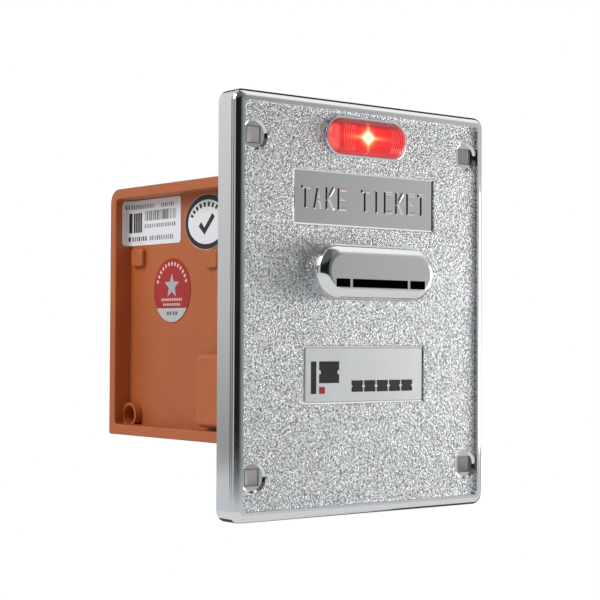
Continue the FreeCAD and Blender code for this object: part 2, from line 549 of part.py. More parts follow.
def guide_screws():
    x = PLATE_X0 + PLATE_T
    return group([screw(GUIDE_SCREW, V(x, y, z), -X)
                  for y in GUIDE_SCREW_Y for z in (LOWER_SCREW_Z, UPPER_SCREW_Z)])


def eye(z0, z1, window_z, pins_up):
    """Half of the ticket sensor: a moulded block with a round window towards the path."""
    block = rounded(SENSOR_X - 4, SENSOR_X + 4, SENSOR_Y - 4, SENSOR_Y + 4, z0, z1, 0.8, Z)
    lens = post(SENSOR_R - 0.2, window_z, window_z + 1.2, SENSOR_X, SENSOR_Y)
    low, high = (z1 - 0.2, z1 + 3.8) if pins_up else (z0 - 3.8, z0 + 0.2)
    pins = [post(0.35, low, high, SENSOR_X + dx, SENSOR_Y) for dx in (-PIN_PITCH / 2, PIN_PITCH / 2)]
    return fuse([block, lens] + pins)


def sensor_emitter():
    z1 = PATH_Z1 + GUIDE_T
    return eye(z1, z1 + 6.0, z1 - 1.2, True)


def sensor_receiver():
    z0 = PATH_Z0 - GUIDE_T
    return eye(z0 - 6.0, z0, z0, False)


# ---------------------------------------------------------------- drive train

def gear(module, teeth, x0, x1, y, z, toward, bore, gap_first):
    """Spur gear on an axis along X. A tooth (or a gap) is centred on the angle it is turned toward."""
    rp = module * teeth / 2
    rb = rp * math.cos(PRESSURE)
    ra, rf = rp + ADDENDUM * module, rp - DEDENDUM * module
    half = (math.pi * module / 2 - BACKLASH) / 2 / rp
    inv = math.tan(PRESSURE) - PRESSURE
    start = toward + (math.pi / teeth if gap_first else 0.0)
    points = []

    def at(r, a):
        points.append(V(x0, y + r * math.cos(a), z + r * math.sin(a)))

    flank = [max(rb, rf) + (ra - max(rb, rf)) * k / 5 for k in range(6)]
    spread = []
    for r in flank:
        p = math.acos(min(1.0, rb / r))
        spread.append(half + inv - (math.tan(p) - p))
    for i in range(teeth):
        c = start + 2 * math.pi * i / teeth
        if rf < rb:
            at(rf, c - spread[0])
        for r, s in zip(flank, spread):
            at(r, c - s)
        for r, s in reversed(list(zip(flank, spread))):
            at(r, c + s)
        if rf < rb:
            at(rf, c + spread[0])
    solid = Part.Face(Part.makePolygon(points + points[:1])).extrude(V(x1 - x0, 0, 0))
    return solid.cut(rod(bore, x0 - 1, x1 + 1, y, z))


def heading(y0, z0, y1, z1):
    return math.atan2(z1 - z0, y1 - y0)


def output_gear():
    toward = heading(DRIVE_Y, DRIVE_Z, IDLE_Y, IDLE_Z)
    solid = gear(OUT_M, OUT_TEETH, OUT_X0, OUT_X1, DRIVE_Y, DRIVE_Z, toward, SHAFT_R, False)
    for x0, x1 in ((OUT_X0 - 1, OUT_X0 + 1.4), (OUT_X1 - 1.4, OUT_X1 + 1)):
        solid = solid.cut(rod(14.5, x0, x1, DRIVE_Y, DRIVE_Z).cut(rod(6.0, x0, x1, DRIVE_Y, DRIVE_Z)))
    return solid


def compound_gear():
    bore = 2.0 + RUN
    small = gear(OUT_M, SMALL_TEETH, OUT_X0, OUT_X1, IDLE_Y, IDLE_Z,
                 heading(IDLE_Y, IDLE_Z, DRIVE_Y, DRIVE_Z), bore, True)
    big = gear(IN_M, BIG_TEETH, IN_GEAR_X0, IN_GEAR_X1, IDLE_Y, IDLE_Z,
               heading(IDLE_Y, IDLE_Z, MOTOR_Y, MOTOR_Z), bore, False)
    neck = rod(5.5, OUT_X1 - 0.5, IN_GEAR_X0 + 0.5, IDLE_Y, IDLE_Z)
    neck = neck.cut(rod(bore, OUT_X0, IN_GEAR_X1, IDLE_Y, IDLE_Z))
    holes = [rod(2.6, IN_GEAR_X0 - 1, IN_GEAR_X1 + 1, IDLE_Y + 10.5 * math.cos(a), IDLE_Z + 10.5 * math.sin(a))
             for a in [math.radians(60 * k) for k in range(6)]]
    return fuse([small, big.cut(holes), neck])


def motor_pinion():
    return gear(IN_M, PINION_TEETH, IN_GEAR_X0 - 0.4, IN_GEAR_X1 + 0.6, MOTOR_Y, MOTOR_Z,
                heading(MOTOR_Y, MOTOR_Z, IDLE_Y, IDLE_Z), MOTOR_SHAFT_R, True)


def chassis_plate():
    x0, x1 = PLATE_X0, PLATE_X0 + PLATE_T
    solid = rounded(x0, x1, 24.0, 102.0, IN_Z0 + 0.4, 33.0, 4.0, X)
    cuts = [rod(BUSH_R, x0 - 1, x1 + 1, DRIVE_Y, DRIVE_Z), rod(2.6, x0 - 1, x1 + 1, IDLE_Y, IDLE_Z),
            rod(MOTOR_BOSS_R + 0.1, x0 - 1, x1 + 1, MOTOR_Y, MOTOR_Z)]
    cuts += [rod(1.1, x0 - 1, x1 + 1, y, z) for y in GUIDE_SCREW_Y for z in (LOWER_SCREW_Z, UPPER_SCREW_Z)]
    cuts += [rod(1.6, x0 - 1, x1 + 1, y, z) for y, z in CHASSIS_POSTS]
    cuts += [rod(1.4, x0 - 1, x1 + 1, y, z) for y, z in MOTOR_SCREWS]
    return solid.cut(cuts)


def chassis_screws():
    return group([screw(CHASSIS_SCREW, V(PLATE_X0 + PLATE_T, y, z), -X) for y, z in CHASSIS_POSTS])


def motor_screws():
    return group([screw(MOTOR_SCREW, V(PLATE_X0 + PLATE_T, y, z), -X) for y, z in MOTOR_SCREWS])


def motor_can():
    x1 = PLATE_X0
    can = rod(MOTOR_R, x1 - MOTOR_L, x1, MOTOR_Y, MOTOR_Z)
    flats = [box(x1 - MOTOR_L - 1, x1 + 1, MOTOR_Y - 13, MOTOR_Y + 13, z0, z0 + 3)
             for z0 in (MOTOR_Z + 10.0, MOTOR_Z - 13.0)]
    can = can.cut(flats).fuse(rod(MOTOR_BOSS_R, x1 - 0.5, x1 + PLATE_T, MOTOR_Y, MOTOR_Z))
    bores = [rod(MOTOR_SHAFT_R + RUN, 0.0, x1 + 3, MOTOR_Y, MOTOR_Z)]
    bores += [rod(1.0, x1 - 6, x1 + 1, y, z) for y, z in MOTOR_SCREWS]
    return can.cut(bores).removeSplitter()


def motor_end_cap():
    x1 = PLATE_X0 - MOTOR_L
    cap = rod(10.6, x1 - 2.0, x1, MOTOR_Y, MOTOR_Z).common(box(-30, 30, 0, 120, MOTOR_Z - 9.4, MOTOR_Z + 9.4))
    return cap.fuse(rod(3.5, x1 - 3.4, x1 - 1.5, MOTOR_Y, MOTOR_Z)).removeSplitter()


def motor_terminals():
    x1 = PLATE_X0 - MOTOR_L - 2.0
    return group([box(x1 - 3.2, x1, y - 1.1, y + 1.1, MOTOR_Z - 0.25, MOTOR_Z + 0.25)
                  for y in (MOTOR_Y - 7.0, MOTOR_Y + 7.0)])


def motor_shaft():
    return rod(MOTOR_SHAFT_R, 0.5, IN_GEAR_X1 + 1.0, MOTOR_Y, MOTOR_Z)


def gear_axle():
    parts = [rod(r, x0, x1, IDLE_Y, IDLE_Z) for r, x0, x1 in (
        (2.0, PLATE_X0 + 1, IN_GEAR_X1 + 1.6), (2.6, PLATE_X0, OUT_X0 - 0.9),
        (3.8, PLATE_X0 + PLATE_T, OUT_X0 - 0.3))]
    groove = rod(2.5, IN_GEAR_X1 + 0.3, IN_GEAR_X1 + 1.0, IDLE_Y, IDLE_Z).cut(
        rod(1.5, IN_GEAR_X1, IN_GEAR_X1 + 2, IDLE_Y, IDLE_Z))
    return fuse(parts).cut(groove)


def clip(x0, y, z, inner, outer):
    ring = rod(outer, x0, x0 + CLIP_T, y, z).cut(rod(inner, x0 - 1, x0 + 2, y, z))
    return ring.cut(box(x0 - 1, x0 + 2, y - inner * 0.8, y + inner * 0.8, z - outer - 1, z))


def gear_clip():
    return clip(IN_GEAR_X1 + 0.35, IDLE_Y, IDLE_Z, 1.5, 3.6)


def drive_shaft():
    shaft = rod(SHAFT_R, -24.0, OUT_X1 + 2.0, DRIVE_Y, DRIVE_Z)
    shaft = shaft.makeChamfer(0.5, [e for e in shaft.Edges if isinstance(e.Curve, Part.Circle)])
    for x0 in (-18.75, OUT_X1 + 0.15):
        groove = rod(4.0, x0, x0 + 0.7, DRIVE_Y, DRIVE_Z).cut(rod(2.4, x0 - 1, x0 + 2, DRIVE_Y, DRIVE_Z))
        shaft = shaft.cut(groove)
    return shaft


def shaft_clips():
    return group([clip(x0, DRIVE_Y, DRIVE_Z, 2.4, 4.6) for x0 in (-18.7, OUT_X1 + 0.2)])


def shaft_bushes():
    bore = SHAFT_R + RUN
    left = rod(BUSH_R, -24.5, -19.0, DRIVE_Y, DRIVE_Z)
    right = rod(BUSH_R, PLATE_X0 - 1.5, PLATE_X0 + PLATE_T, DRIVE_Y, DRIVE_Z).fuse(
        rod(6.5, PLATE_X0 + PLATE_T, PLATE_X0 + PLATE_T + 1.0, DRIVE_Y, DRIVE_Z))
    return group([s.cut(rod(bore, -30, 30, DRIVE_Y, DRIVE_Z)) for s in (left, right)])


def roller_hub():
    hub = rod(7.0, -9.0, 9.0, DRIVE_Y, DRIVE_Z).fuse(rod(4.6, -12.0, 12.0, DRIVE_Y, DRIVE_Z))
    return hub.cut(rod(SHAFT_R, -15, 15, DRIVE_Y, DRIVE_Z)).removeSplitter()


def drive_roller():
    ring = rod(DRIVE_R, -9.0, 9.0, DRIVE_Y, DRIVE_Z).cut(rod(7.0, -10, 10, DRIVE_Y, DRIVE_Z))
    core = rod(DRIVE_R - 0.8, -10, 10, DRIVE_Y, DRIVE_Z)
    grooves = [rod(DRIVE_R + 1, x - 0.6, x + 0.6, DRIVE_Y, DRIVE_Z).cut(core) for x in (-4.5, 0.0, 4.5)]
    return ring.cut(grooves)


# ---------------------------------------------------------------- pinch arm

def pinch_arm():
    sides = []
    top = BRIDGE_Z + BRIDGE_T
    for s in (-1, 1):
        x0, x1 = sorted((s * CHEEK_X, s * (CHEEK_X + CHEEK_T)))
        corners_yz = [(DRIVE_Y - 3.2, PINCH_Z), (SPRING_Y - 5, top), (SPRING_Y + 5, top),
                      (PIVOT_Y + 2.2, PIVOT_Z + 2.4), (PIVOT_Y, PIVOT_Z - CHEEK_R),
                      (DRIVE_Y, PINCH_Z - CHEEK_R), (DRIVE_Y - 3.2, PINCH_Z)]
        web = Part.Face(Part.makePolygon([V(x0, y, z) for y, z in corners_yz])).extrude(V(CHEEK_T, 0, 0))
        cheek = fuse([web, rod(CHEEK_R, x0, x1, DRIVE_Y, PINCH_Z), rod(CHEEK_R, x0, x1, PIVOT_Y, PIVOT_Z)])
        sides.append(cheek)
    reach = CHEEK_X + CHEEK_T
    bridge = box(-reach, reach, SPRING_Y - 5, SPRING_Y + 5, BRIDGE_Z, top)
    stud = post(2.0, top - 0.5, top + 2.5, 0, SPRING_Y)
    solid = fuse(sides + [bridge, stud])
    return solid.cut([rod(PIN_R + RUN, -10, 10, PIVOT_Y, PIVOT_Z), rod(PIN_R, -10, 10, DRIVE_Y, PINCH_Z)])


def pinch_axle():
    return rod(PIN_R, -CHEEK_X - CHEEK_T - 0.4, CHEEK_X + CHEEK_T + 0.4, DRIVE_Y, PINCH_Z)


def pinch_roller():
    wheel = rod(PINCH_R, -6.0, 6.0, DRIVE_Y, PINCH_Z)
    wheel = wheel.makeFillet(0.6, [e for e in wheel.Edges if isinstance(e.Curve, Part.Circle)])
    return wheel.cut(rod(PIN_R + RUN, -7, 7, DRIVE_Y, PINCH_Z))


def pivot_pin():
    return fuse([rod(PIN_R, -13.0, 12.4, PIVOT_Y, PIVOT_Z), rod(2.6, -13.4, -12.0, PIVOT_Y, PIVOT_Z)])


def pinch_spring():
    z0, z1 = BRIDGE_Z + BRIDGE_T, STRAP_Z
    height = z1 - z0 - 2 * SPRING_WIRE
    helix = Part.makeHelix(height / SPRING_TURNS, height, SPRING_R)
    disc = Part.Wire([Part.makeCircle(SPRING_WIRE, V(SPRING_R, 0, 0), Y)])
    coil = Part.Wire(helix.Edges).makePipeShell([disc], True, True)
    coil.translate(V(0, SPRING_Y, z0 + SPRING_WIRE))
    return coil


def spring_strap():
    y0, y1, z0 = SPRING_Y - 4, SPRING_Y + 4, PATH_Z1 + GUIDE_T
    parts = [box(-STRAP_X, STRAP_X, y0, y1, STRAP_Z, STRAP_Z + STRAP_T)]
    for s in (-1, 1):
        a, b = sorted((s * STRAP_X, s * (STRAP_X - STRAP_T)))
        parts.append(box(a, b, y0, y1, z0, STRAP_Z + STRAP_T))
        a, b = sorted((s * (STRAP_X - STRAP_T), s * GUIDE_X))
        parts.append(box(a, b, y0, y1, z0, z0 + STRAP_T))
    solid = fuse(parts)
    return solid.cut([post(1.1, z0 - 1, z0 + 2, s * STRAP_SCREW_X, SPRING_Y) for s in (-1, 1)])


def strap_screws():
    z = PATH_Z1 + GUIDE_T + STRAP_T
    return group([screw(STRAP_SCREW, V(s * STRAP_SCREW_X, SPRING_Y, z), -Z) for s in (-1, 1)])


# ---------------------------------------------------------------- electrics and button

def control_board():
    board = rounded(BOARD_X, BOARD_X + BOARD_T, BOARD_Y0, BOARD_Y1, BOARD_Z0, BOARD_Z1, 1.0, X)
    return board.cut([rod(1.5, BOARD_X - 1, BOARD_X + 3, y, z) for y, z in BOARD_POSTS])


def board_screws():
    x = BOARD_X + BOARD_T
    return group([screw(BOARD_SCREW, V(x, y, z), -X) for y, z in BOARD_POSTS])


def board_chips():
    x = BOARD_X + BOARD_T
    chips = [box(x, x + 3.4, 72.0, 92.0, -10.5, -4.0), box(x, x + 1.6, 78.0, 83.0, -17.5, -13.5),
             box(x, x + 2.0, 96.0, 100.0, -9.0, -4.0)]
    bevelled = []
    for chip in chips:
        top = [e for e in chip.Edges if e.CenterOfMass.x > x + 1.2 and e.BoundBox.XLength < 1e-6]
        bevelled.append(chip.makeChamfer(0.3, top))
    return group(bevelled)


def board_capacitors():
    x = BOARD_X + BOARD_T
    cans = []
    for r, h, y, z in ((3.1, 7.0, 70.0, -19.5), (3.1, 7.0, 95.0, -23.0), (2.5, 6.0, 84.5, -20.5)):
        can = rod(r, x, x + h, y, z)
        rim = [e for e in can.Edges if e.CenterOfMass.x > x + 5 and isinstance(e.Curve, Part.Circle)]
        cans.append(can.makeFillet(0.5, rim))
    return group(cans)


def harness_socket():
    x0 = BOARD_X + BOARD_T
    x1, y0, y1, z0, z1 = x0 + 8.6, 102.5, H_Y1 + 0.6, -34.0, -14.0
    shell = box(x0, x1, y0, y1, z0, z1).cut(box(x0 + 1.4, x1 - 1.4, y0 + 4, y1 + 1, z0 + 1.4, z1 - 1.4))
    key = box(x1 - 2.0, x1 + 1, y1 - 5, y1 + 1, -26.0, -22.0)
    return shell.cut(key)


def harness_pins():
    x0 = BOARD_X + BOARD_T
    return group([box(x0 + x - 0.32, x0 + x + 0.32, 106.5, 113.2, z - 0.32, z + 0.32)
                  for x in (3.0, 5.6) for z in [-31.0 + 2.0 * k for k in range(8)]])


def button_switch():
    y0, y1 = 98.0, 108.8
    shell = rounded(BUTTON_X - 7, BUTTON_X + 7, y0, y1, BUTTON_Z - 7, BUTTON_Z + 7, 1.0, Y)
    shell = shell.cut(peg(2.3, y1 - 4.5, y1 + 1, BUTTON_X, BUTTON_Z))
    tabs = [box(x - 0.3, x + 0.3, y0 - 4, y0 + 1, BUTTON_Z - 1, BUTTON_Z + 1)
            for x in (BUTTON_X - 4, BUTTON_X + 4)]
    frame = [box(x - 1.5, x + 1.5, y0 + 4, IN_Y1, BUTTON_Z - 6, BUTTON_Z + 6)
             for x in (BUTTON_X - 7.5, BUTTON_X + 7.5)]
    return fuse([shell] + tabs + frame)


def feed_button():
    cap = peg(BUTTON_R, IN_Y1 - 1.6, H_Y1 + 3.4, BUTTON_X, BUTTON_Z)
    cap = cap.makeFillet(1.0, edges_at_y(cap, H_Y1 + 3.4))
    return fuse([cap, peg(2.0, 106.0, IN_Y1 - 1, BUTTON_X, BUTTON_Z)])


NODES = [
    faceplate, name_label, lamp_lens, lamp_holder, lamp_board, lamp_led, lamp_leads, outlet_bezel, throat_lower,
    throat_upper, throat_screws, mount_bracket, bracket_screws, ear_screws, housing, side_cover, case_screws,
    serial_label, inspection_label, seal_label, lower_guide, upper_guide, guide_screws, sensor_emitter,
    sensor_receiver, chassis_plate, chassis_screws, motor_can, motor_end_cap, motor_terminals, motor_screws,
    motor_shaft, motor_pinion, compound_gear, gear_axle, gear_clip, drive_shaft, shaft_clips, shaft_bushes,
    roller_hub, drive_roller, output_gear, pinch_arm, pinch_axle, pinch_roller, pivot_pin, pinch_spring,
    spring_strap, strap_screws, control_board, board_screws, board_chips, board_capacitors, harness_socket,
    harness_pins, button_switch, feed_button]

for make in NODES:
    make().exportStep("parts/" + make.__name__ + ".step")
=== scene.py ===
import math
import random

import bpy
import bmesh
from mathutils import Matrix, Vector


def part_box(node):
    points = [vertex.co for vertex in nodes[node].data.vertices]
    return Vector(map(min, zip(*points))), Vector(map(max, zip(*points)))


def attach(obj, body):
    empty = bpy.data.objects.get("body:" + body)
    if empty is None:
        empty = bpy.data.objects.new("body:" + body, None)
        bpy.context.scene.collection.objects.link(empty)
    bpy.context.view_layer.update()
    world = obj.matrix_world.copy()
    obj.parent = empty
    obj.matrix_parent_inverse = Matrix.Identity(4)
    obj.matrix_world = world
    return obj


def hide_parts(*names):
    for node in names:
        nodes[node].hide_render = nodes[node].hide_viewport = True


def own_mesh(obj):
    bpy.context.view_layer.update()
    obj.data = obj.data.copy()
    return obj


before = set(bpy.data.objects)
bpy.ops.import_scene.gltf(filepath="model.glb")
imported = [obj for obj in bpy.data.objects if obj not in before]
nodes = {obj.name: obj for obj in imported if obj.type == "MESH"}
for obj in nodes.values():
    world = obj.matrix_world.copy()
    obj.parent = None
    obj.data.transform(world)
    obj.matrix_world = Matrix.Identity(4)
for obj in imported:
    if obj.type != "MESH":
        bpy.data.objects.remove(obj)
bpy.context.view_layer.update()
MM = 0.001


# ---------------------------------------------------------------- places in mm, most of them from the CAD boxes
def mm_box(node):
    """Lowest and highest corner of a CAD node."""
    lo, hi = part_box(node)
    return [v / MM for v in lo], [v / MM for v in hi]


plate_hi = mm_box("faceplate")[1]
label_lo = mm_box("name_label")[0]
lens_lo, lens_hi = mm_box("lamp_lens")
serial_lo, serial_hi = mm_box("serial_label")
oval_lo, oval_hi = mm_box("inspection_label")
seal_lo, seal_hi = mm_box("seal_label")
RIM = 4.0                               # outer edge of the plate to its sunk field
FIELD_Y = -9.7                          # the field's plane
FIELD_SLACK = 0.25                      # what still counts as lying in that plane
FIELD_INSET = 0.15                      # the grain stops this far inside the rim
STRIP = (-34.95, 34.95, 31.4, 51.1)     # the sunk strip in the field: left, right, bottom, top
STRIP_INSET = 0.2                       # the strip is free of grain from this far inside its edge
BOLT_X, BOLT_Z = 53.7, 62.6             # the middles of the four square holes, on both sides of zero
HOLE_HALF = 3.0                         # takes in the walls of a hole
MOUTH_SHADE_BAND = (2.85, 3.2)                 # painted shade in a dark band round the mouth of a hole, from its middle
SEAT_BACK, MOUTH_SHADE_BACK = 0.6, 1.5         # how far behind the field that painted shade starts and ends


# ---------------------------------------------------------------- node helpers
def spread(ramp, stops):
    """Puts (position, grey or colour) stops on a colour ramp."""
    while len(ramp.elements) < len(stops):
        ramp.elements.new(0.5)
    for e, (p, v) in zip(ramp.elements, stops):
        e.position = p
        e.color = (*v, 1.0) if isinstance(v, tuple) else (v, v, v, 1.0)


class Mat:
    """A Principled material and short ways to add nodes to it."""

    def __init__(self, name, color, metallic=0.0, roughness=0.5, **sockets):
        self.m = bpy.data.materials.new(name)
        self.m.use_nodes = True
        self.nt = self.m.node_tree
        self.bsdf = self.nt.nodes["Principled BSDF"]
        self.set("Base Color", (*color, 1.0))
        self.set("Metallic", metallic)
        self.set("Roughness", roughness)
        for key, value in sockets.items():
            self.set(key.replace("_", " "), value)
        self.coord = None

    def set(self, socket, value):
        self.bsdf.inputs[socket].default_value = value

    def node(self, kind, **values):
        n = self.nt.nodes.new("ShaderNode" + kind)
        for key, value in values.items():
            if key in n.bl_rna.properties:
                setattr(n, key, value)
            else:
                n.inputs[key].default_value = value
        return n

    def link(self, a, b):
        self.nt.links.new(a, b)

    def obj(self, scale=None):
        """Object coordinates in metres, or multiplied axis by axis."""
        if self.coord is None:
            self.coord = self.node("TexCoord").outputs["Object"]
        if scale is None:
            return self.coord
        v = self.node("VectorMath", operation="MULTIPLY")
        v.inputs[1].default_value = scale
        self.link(self.coord, v.inputs[0])
        return v.outputs[0]

    def mm(self):
        """Object coordinates in mm as three sockets."""
        s = self.node("SeparateXYZ")
        self.link(self.obj((1000, 1000, 1000)), s.inputs[0])
        return s.outputs

    def math(self, op, a, b=0.0, clamp=False):
        n = self.node("Math", operation=op)
        n.use_clamp = clamp
        for i, v in enumerate((a, b)):
            if isinstance(v, (int, float)):
                n.inputs[i].default_value = v
            else:
                self.link(v, n.inputs[i])
        return n.outputs[0]

    def times(self, first, *others):
        for other in others:
            first = self.math("MULTIPLY", first, other)
        return first

    def mix(self, fac, a, b):
        n = self.node("Mix", data_type="RGBA")
        for i, v in ((0, fac), (6, a), (7, b)):
            if isinstance(v, (int, float)):
                n.inputs[i].default_value = v
            elif isinstance(v, tuple):
                n.inputs[i].default_value = (*v, 1.0)
            else:
                self.link(v, n.inputs[i])
        return n.outputs[2]

    def noise(self, scale, detail=3.0, rough=0.5, coord=None, distortion=0.0):
        n = self.node("TexNoise", Scale=scale, Detail=detail, Roughness=rough, Distortion=distortion)
        self.link(coord or self.obj(), n.inputs["Vector"])
        return n.outputs["Fac"]

    def ramp(self, fac, stops):
        n = self.node("ValToRGB")
        spread(n.color_ramp, stops)
        self.link(fac, n.inputs[0])
        return n.outputs[0]

    def bump(self, height, distance, strength=1.0):
        """Relief; distance in metres."""
        n = self.node("Bump", Strength=strength, Distance=distance)
        self.link(height, n.inputs["Height"])
        self.link(n.outputs[0], self.bsdf.inputs["Normal"])

    def to(self, socket, value):
        """Feeds a node's output to the shader."""
        self.link(value, self.bsdf.inputs[socket])

    def inside(self, value, lo, hi):
        """1 where value lies between lo and hi."""
        return self.times(self.math("GREATER_THAN", value, lo), self.math("LESS_THAN", value, hi))


def paint(mat, *names):
    """Gives CAD nodes a material."""
    for name in names:
        slots = nodes[name].data.materials
        if len(slots) == 0:
            slots.append(mat.m)
        for i in range(len(slots)):
            slots[i] = mat.m


def speckled(name, color, roughness, grain=900.0, depth=0.00006, vary=0.10, **sockets):
    """Moulded or painted surface: slight colour drift, uneven gloss and a fine grain."""
    m = Mat(name, color, roughness=roughness, **sockets)
    drift = m.noise(28.0, 4.0, 0.6)
    dark = tuple(c * (1 - vary) for c in color)
    light = tuple(min(1.0, c * (1 + vary)) for c in color)
    m.to("Base Color", m.ramp(drift, [(0.35, dark), (0.65, light)]))
    gloss = [(0.3, max(0.0, roughness - 0.06)), (0.7, roughness + 0.06)]
    m.to("Roughness", m.ramp(m.noise(90.0, 3.0), gloss))
    m.bump(m.noise(grain, 2.0), depth, 0.5)
    return m


def brushed(name, color, roughness):
    """Rolled or turned metal with fine lines that run level."""
    m = Mat(name, color, 1.0, roughness)
    lines = m.noise(260.0, 3.0, 0.6, m.obj((1, 1, 12)))
    cloud = m.noise(60.0, 4.0, 0.55)
    m.to("Base Color", m.ramp(cloud, [(0.3, tuple(c * 0.82 for c in color)), (0.7, color)]))
    m.to("Roughness", m.ramp(lines, [(0.3, roughness * 0.75), (0.7, roughness * 1.35)]))
    m.bump(lines, 0.00003, 0.4)
    return m


# ---------------------------------------------------------------- materials
def chrome_plate():
    """Bright chrome. The sunk field carries a coarse random grain, and the square holes are dull, with shade
    painted in a dark band just inside their mouths.
    """
    bright, hole_tint, mouth_shade_tint = (0.86, 0.87, 0.88), (0.90, 0.87, 0.88), (0.16, 0.17, 0.17)
    m = Mat("chrome_plate", bright, 1.0, 0.06)
    x, y, z = m.mm()
    ax, az = m.math("ABSOLUTE", x), m.math("ABSOLUTE", z)
    seat_y = FIELD_Y + SEAT_BACK

    strip = m.times(m.inside(x, STRIP[0] + STRIP_INSET, STRIP[1] - STRIP_INSET),
                    m.inside(z, STRIP[2] + STRIP_INSET, STRIP[3] - STRIP_INSET))
    field = m.times(m.inside(y, FIELD_Y - FIELD_SLACK, FIELD_Y + FIELD_SLACK),
                    m.math("LESS_THAN", ax, plate_hi[0] - RIM - FIELD_INSET),
                    m.math("LESS_THAN", az, plate_hi[2] - RIM - FIELD_INSET),
                    m.math("SUBTRACT", 1.0, strip))
    coarse = m.noise(1150.0, 2.0, 0.55, distortion=0.8)
    fine = m.noise(2900.0, 2.0, 0.6)
    relief = m.math("ADD", m.times(coarse, 0.7), m.times(fine, 0.3))
    m.bump(m.times(relief, field), 0.0007)

    hole = m.times(m.inside(ax, BOLT_X - HOLE_HALF, BOLT_X + HOLE_HALF),
                   m.inside(az, BOLT_Z - HOLE_HALF, BOLT_Z + HOLE_HALF),
                   m.math("GREATER_THAN", y, seat_y))
    off_middle = m.math("MAXIMUM", m.math("ABSOLUTE", m.math("SUBTRACT", ax, BOLT_X)),
                        m.math("ABSOLUTE", m.math("SUBTRACT", az, BOLT_Z)))
    # painted shade: a dark band on the walls of each hole just behind its mouth
    mouth_shade = m.times(m.inside(off_middle, *MOUTH_SHADE_BAND), m.inside(y, seat_y, FIELD_Y + MOUTH_SHADE_BACK))

    uneven = m.ramp(m.noise(70.0, 3.0), [(0.3, 0.05), (0.7, 0.10)])
    dull = m.math("ADD", m.times(field, 0.14), m.times(hole, 0.45))
    m.to("Roughness", m.math("ADD", dull, uneven))
    pits = m.ramp(m.times(fine, coarse), [(0.16, (0.22, 0.23, 0.24)), (0.30, (0.82, 0.83, 0.84))])
    shade = m.mix(hole, m.mix(field, bright, pits), hole_tint)
    # the painted shade in the hole mouths goes over the plate's colour
    m.to("Base Color", m.mix(mouth_shade, shade, mouth_shade_tint))
    m.to("Metallic", m.math("SUBTRACT", 1.0, m.times(hole, 0.9)))
    return m


def lit_lens():
    """Red moulding over a lamp, with the lamp's light painted on it as emission: hot centre with rays, painted
    highlights on the rib crests and end facets, painted shade at top and foot. Curved ribs towards both ends.
    Lengths in mm.
    """
    # middle of the painted glow: shifted 1.3 mm to the left, to where the lamp shows through the lens as seen
    # from the camera
    glow_x, glow_z = -1.3, (lens_lo[2] + lens_hi[2]) / 2
    rib_pitch, rib_bow, rib_reach = 1.1, 0.045, 5.2
    m = Mat("lit_lens", (0.75, 0.01, 0.01), 0.0, 0.08, IOR=1.49, Coat_Weight=0.6, Coat_Roughness=0.04)
    x, _, z = m.mm()
    dz = m.math("SUBTRACT", z, glow_z)
    ax, az = m.math("ABSOLUTE", m.math("SUBTRACT", x, glow_x)), m.math("ABSOLUTE", dz)

    def falloff(width, height):
        """1 at the middle of the painted glow, down to 1/e at this distance sideways or upwards."""
        sideways = m.math("POWER", m.math("DIVIDE", ax, width), 2.0)
        upwards = m.math("POWER", m.math("DIVIDE", az, height), 2.0)
        return m.math("POWER", 2.718, m.times(m.math("ADD", sideways, upwards), -1.0))

    def past(value, limit, slope):
        """0 up to the limit, then rising to 1."""
        return m.math("MULTIPLY", m.math("SUBTRACT", value, limit), slope, clamp=True)

    # painted glow of the lamp behind the lens: a hot core, a halo and rays
    core, halo = falloff(2.3, 2.2), falloff(11.0, 5.2)
    rays = m.math("ADD", falloff(7.5, 0.8), falloff(0.8, 4.8))
    hot = m.math("ADD", m.times(core, 1.3), m.times(rays, 0.42), clamp=True)
    bow = m.times(m.math("POWER", az, 2.0), rib_bow)
    ribs = m.math("SINE", m.times(m.math("ADD", m.math("ABSOLUTE", x), bow), 2 * math.pi / rib_pitch))
    ends = m.math("ADD", m.inside(x, -13.6, -7.6), m.inside(x, 10.3, 17.4))
    ends = m.times(ends, m.math("LESS_THAN", az, rib_reach))
    # painted highlight: the rib crests near both ends glow lighter
    crest_highlight = m.times(ends, m.math("ADD", m.times(ribs, 0.5), 0.5))
    # painted shade towards the top and the foot of the lens
    top_shade, foot = past(dz, 3.4, 0.55), past(-4.2, dz, 0.55)
    # painted highlights on the lens's left and right ends
    left_facet_highlight, right_facet_highlight = past(-15.0, x, 0.7), past(x, 17.2, 0.9)

    glow = m.mix(halo, (0.50, 0.002, 0.006), (1.0, 0.035, 0.02))
    glow = m.mix(m.times(crest_highlight, 0.30), glow, (1.0, 0.13, 0.10))
    glow = m.mix(m.times(left_facet_highlight, 0.55), glow, (0.95, 0.20, 0.17))
    glow = m.mix(m.times(right_facet_highlight, 0.45), glow, (1.0, 0.62, 0.62))
    rim_shade = m.math("MAXIMUM", m.times(top_shade, 0.85), m.times(foot, 0.6))
    glow = m.mix(rim_shade, glow, (0.20, 0.0, 0.004))
    glow = m.mix(hot, glow, (1.0, 0.80, 0.36))
    # painted shade: the lens's base colour darkens towards its top
    m.to("Base Color", m.mix(top_shade, (0.70, 0.01, 0.015), (0.20, 0.0, 0.005)))
    # painted glow: the lens gives light all over, most at its hot centre
    m.to("Emission Color", glow)
    m.to("Emission Strength", m.math("ADD", 0.82, m.times(hot, 1.6)))
    m.bump(m.times(ribs, ends), 0.00016, 0.6)
    return m


